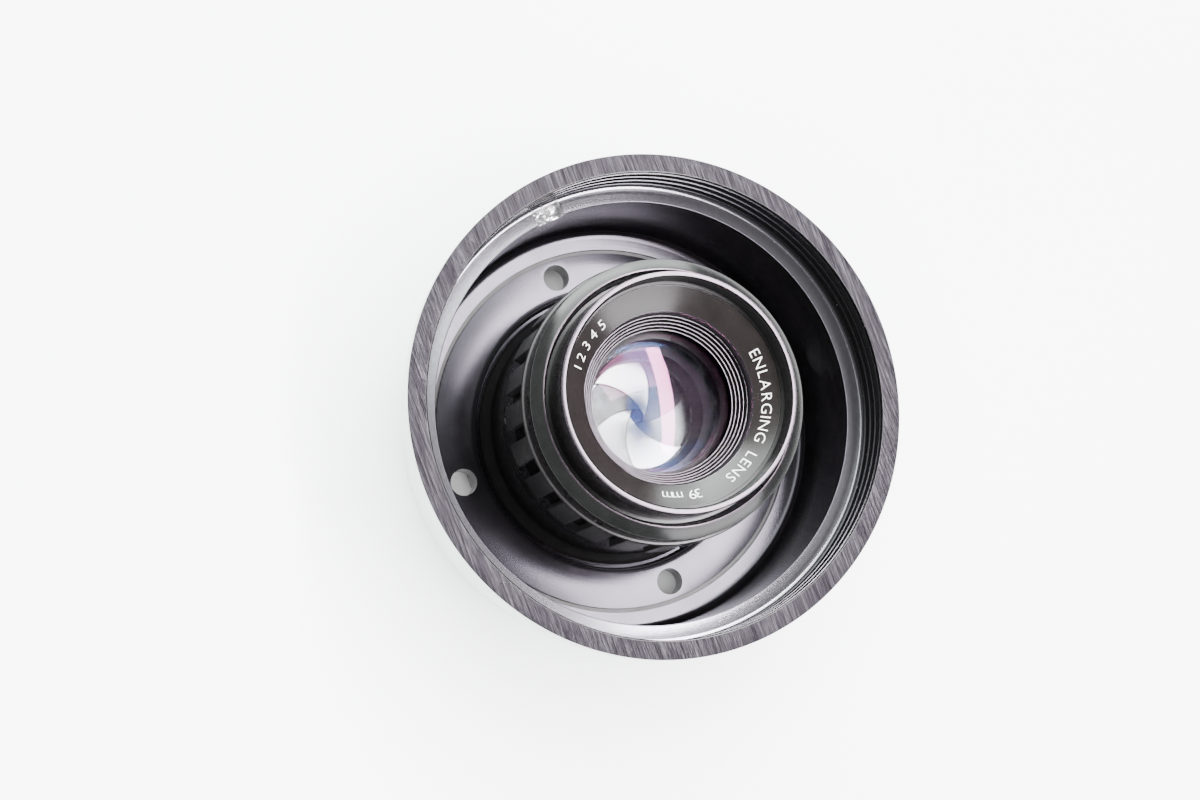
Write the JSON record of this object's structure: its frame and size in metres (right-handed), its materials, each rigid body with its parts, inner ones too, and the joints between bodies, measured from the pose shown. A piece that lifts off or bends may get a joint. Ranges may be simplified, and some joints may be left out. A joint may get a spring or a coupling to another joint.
{
  "type": "enlarger lens",
  "caption": "Darkroom enlarging lens with a slotted aperture ring and a leaf iris, screwed into a deep cup-shaped lens board.",
  "frame": {"origin": "centre of the foot of the lens board's skirt, on the optical axis", "axes": "+Z along the optical axis out of the front of the lens; X and Y through the lens board's four screw holes"},
  "size_m": [0.072, 0.072, 0.0439],
  "materials": {
    "cup_black_enamel": "semi-matt black inside, pale outside, rim face bare sawn aluminium",
    "barrel_black_anodised": "black anodised",
    "front_ring_black_anodised": "black anodised, satin turned cone, bright worn edge",
    "grub_screw_steel": "blackened steel",
    "front_cell_black_anodised": "black anodised with a bare bright front edge",
    "name_ring_black": "satin black anodised with white filled lettering",
    "front_glass": "coated optical glass",
    "spacer_black": "matt black anodised",
    "second_glass": "coated optical glass",
    "rear_cell_black": "black anodised",
    "doublet_front_glass": "coated optical glass",
    "doublet_rear_glass": "coated optical glass",
    "rear_retainer_black": "black anodised",
    "pivot_plate_black": "blackened steel",
    "ball_steel": "polished steel",
    "spring_steel": "spring steel",
    "aperture_ring_black": "black anodised, slotted grip, white filled numbers",
    "drive_screw_steel": "blackened steel",
    "cam_ring_brass": "machined brass, blackened",
    "iris_blade_1_steel": "bright brushed steel",
    "iris_blade_2_steel": "bright brushed steel",
    "iris_blade_3_steel": "bright brushed steel",
    "iris_blade_4_steel": "bright brushed steel",
    "iris_blade_5_steel": "bright brushed steel",
    "iris_blade_6_steel": "bright brushed steel"
  },
  "bodies": {
    "barrel_and_board": {"lens_cup": "cup_black_enamel", "main_barrel": "barrel_black_anodised", "front_barrel_ring": "front_ring_black_anodised", "grub_screws": "grub_screw_steel", "front_cell": "front_cell_black_anodised", "name_ring": "name_ring_black", "front_element": "front_glass", "element_spacer": "spacer_black", "second_element": "second_glass", "rear_cell": "rear_cell_black", "doublet_front_element": "doublet_front_glass", "doublet_rear_element": "doublet_rear_glass", "rear_retaining_ring": "rear_retainer_black", "iris_pivot_plate": "pivot_plate_black", "detent_ball": "ball_steel", "detent_spring": "spring_steel"},
    "aperture_ring": {"aperture_ring": "aperture_ring_black", "drive_screw": "drive_screw_steel", "iris_cam_ring": "cam_ring_brass"},
    "blade_1": {"iris_blade_1": "iris_blade_1_steel"},
    "blade_2": {"iris_blade_2": "iris_blade_2_steel"},
    "blade_3": {"iris_blade_3": "iris_blade_3_steel"},
    "blade_4": {"iris_blade_4": "iris_blade_4_steel"},
    "blade_5": {"iris_blade_5": "iris_blade_5_steel"},
    "blade_6": {"iris_blade_6": "iris_blade_6_steel"}
  },
  "joints": [
    {"name": "aperture_ring_turn", "type": "hinge", "parent": "barrel_and_board", "child": "aperture_ring", "pos_m": [0, 0, 0.0258], "axis": [0, 0, 1], "range_deg": [0, 60]},
    {"name": "blade_1_swing", "type": "hinge", "parent": "barrel_and_board", "child": "blade_1", "pos_m": [0.01276, 0.00622, 0.0215], "axis": [0, 0, 1], "range_deg": [0, 30]},
    {"name": "blade_2_swing", "type": "hinge", "parent": "barrel_and_board", "child": "blade_2", "pos_m": [0.00099, 0.01417, 0.0215], "axis": [0, 0, 1], "range_deg": [0, 30]},
    {"name": "blade_3_swing", "type": "hinge", "parent": "barrel_and_board", "child": "blade_3", "pos_m": [-0.01177, 0.00794, 0.0215], "axis": [0, 0, 1], "range_deg": [0, 30]},
    {"name": "blade_4_swing", "type": "hinge", "parent": "barrel_and_board", "child": "blade_4", "pos_m": [-0.01276, -0.00622, 0.0215], "axis": [0, 0, 1], "range_deg": [0, 30]},
    {"name": "blade_5_swing", "type": "hinge", "parent": "barrel_and_board", "child": "blade_5", "pos_m": [-0.00099, -0.01417, 0.0215], "axis": [0, 0, 1], "range_deg": [0, 30]},
    {"name": "blade_6_swing", "type": "hinge", "parent": "barrel_and_board", "child": "blade_6", "pos_m": [0.01177, -0.00794, 0.0215], "axis": [0, 0, 1], "range_deg": [0, 30]}
  ],
  "couplings": [
    {"joint": "blade_1_swing", "follows": "aperture_ring_turn", "ratio": 0.5},
    {"joint": "blade_2_swing", "follows": "aperture_ring_turn", "ratio": 0.5},
    {"joint": "blade_3_swing", "follows": "aperture_ring_turn", "ratio": 0.5},
    {"joint": "blade_4_swing", "follows": "aperture_ring_turn", "ratio": 0.5},
    {"joint": "blade_5_swing", "follows": "aperture_ring_turn", "ratio": 0.5},
    {"joint": "blade_6_swing", "follows": "aperture_ring_turn", "ratio": 0.5}
  ]
}
